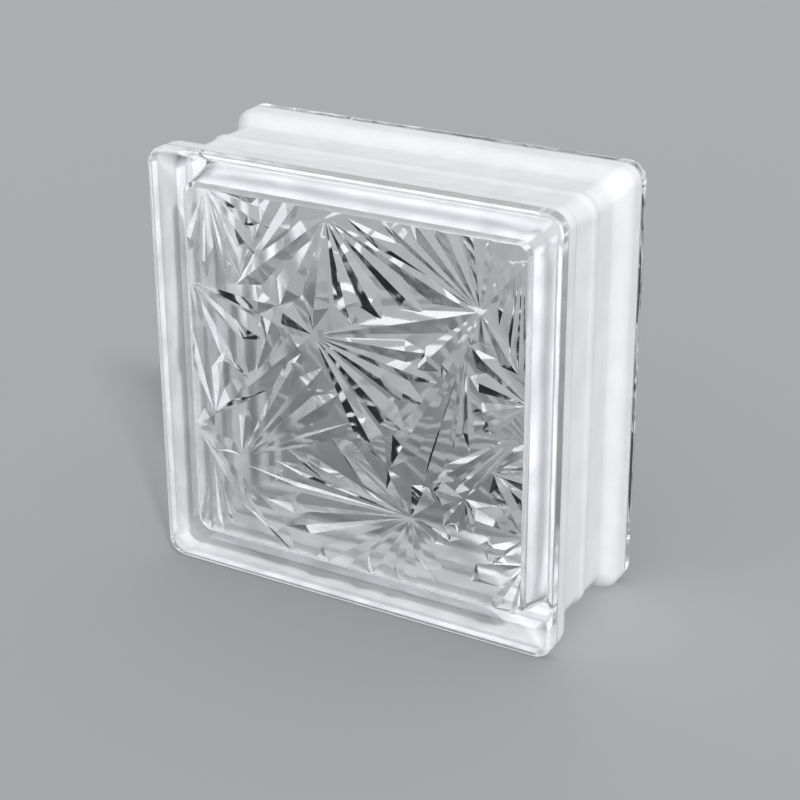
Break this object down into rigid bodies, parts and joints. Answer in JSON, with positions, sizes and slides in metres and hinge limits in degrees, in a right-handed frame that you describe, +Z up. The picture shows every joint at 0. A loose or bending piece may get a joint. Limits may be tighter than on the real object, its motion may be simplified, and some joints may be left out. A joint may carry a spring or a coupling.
{
  "type": "glass block",
  "caption": "Square hollow glass masonry block with faceted fans pressed inside both faces and a white coated mortar channel round its edge.",
  "frame": {"origin": "middle of the foot: the middle of the lower edge side that the block stands on", "axes": "+X along the width, +Y from the front face to the back face, +Z up"},
  "size_m": [0.19, 0.08, 0.19],
  "materials": {
    "clear_glass": "clear pressed glass, fire polished",
    "white_coating": "white sprayed coating, satin"
  },
  "bodies": {
    "root": {"front_half": "clear_glass", "back_half": "clear_glass", "edge_coating": "white_coating"}
  },
  "joints": []
}
